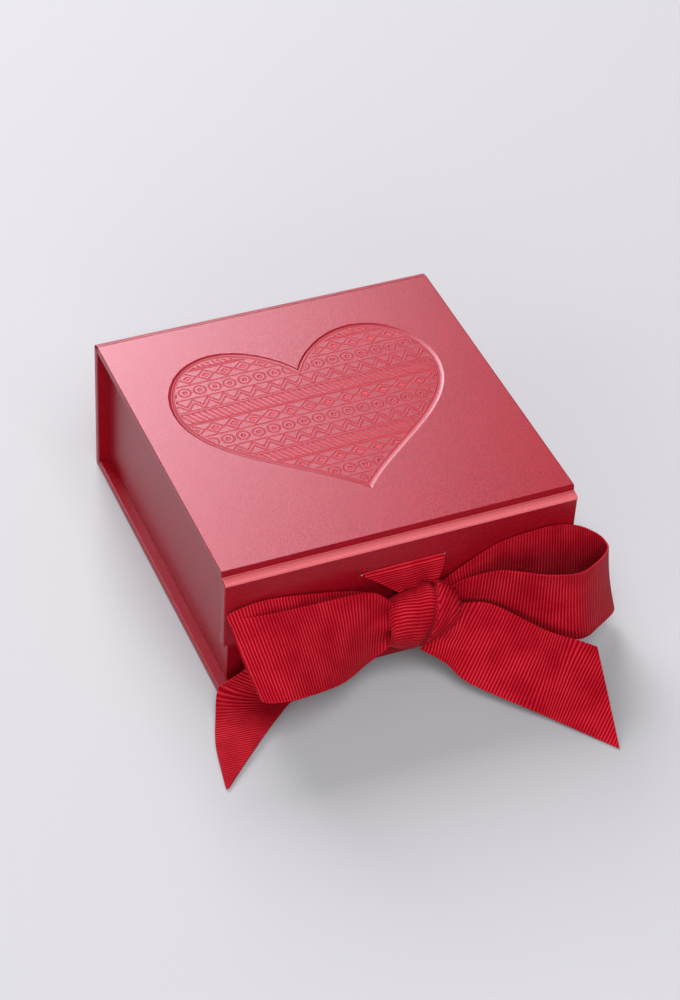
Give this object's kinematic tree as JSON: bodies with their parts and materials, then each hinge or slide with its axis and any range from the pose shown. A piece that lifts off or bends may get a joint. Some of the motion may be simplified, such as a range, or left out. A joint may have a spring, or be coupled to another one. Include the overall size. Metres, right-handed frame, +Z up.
{
  "type": "gift box",
  "caption": "Rigid book-style gift box with a hinged lid, a magnetic front flap, a fitted tray and a ribbon tied in a bow, with a heart pressed into the lid.",
  "frame": {"origin": "centre of the base's underside, on the table", "axes": "+X to the right along the front, +Y from the front to the spine, +Z up"},
  "size_m": [0.1339, 0.1694, 0.049],
  "materials": {
    "pearl_paper": "pearlescent",
    "glossed_paper": "gloss",
    "lining_paper": "matte",
    "greyboard": "matte",
    "kraft_tape": "matte",
    "plated_steel": "satin",
    "grosgrain": "ribbed satin"
  },
  "bodies": {
    "box": {"base_board": "greyboard", "base_wrap": "pearl_paper", "spine_board": "greyboard", "spine_wrap": "pearl_paper", "spine_hinge": "pearl_paper", "tray_floor": "greyboard", "tray_front_wall": "greyboard", "tray_back_wall": "greyboard", "tray_left_wall": "greyboard", "tray_right_wall": "greyboard", "tray_corner_stays": "kraft_tape", "tray_steel_plates": "plated_steel", "tray_wrap": "pearl_paper", "tray_lining": "lining_paper"},
    "lid": {"lid_board": "greyboard", "lid_wrap": "pearl_paper", "lid_lining": "lining_paper", "heart_panel": "glossed_paper", "flap_hinge": "pearl_paper"},
    "flap": {"flap_board": "greyboard", "flap_wrap": "pearl_paper", "flap_lining": "lining_paper", "flap_magnets": "plated_steel", "ribbon_slit_band": "grosgrain", "ribbon_knot": "grosgrain", "ribbon_left_loop": "grosgrain", "ribbon_right_loop": "grosgrain", "ribbon_left_tail": "grosgrain", "ribbon_right_tail": "grosgrain"}
  },
  "joints": [
    {"name": "lid_turn", "type": "hinge", "parent": "box", "child": "lid", "pos_m": [0, 0.05435, 0.0479], "axis": [-1, 0, 0], "range_deg": [0, 180]},
    {"name": "flap_turn", "type": "hinge", "parent": "lid", "child": "flap", "pos_m": [0, -0.0546, 0.0472], "axis": [-1, 0, 0], "range_deg": [0, 90]}
  ]
}
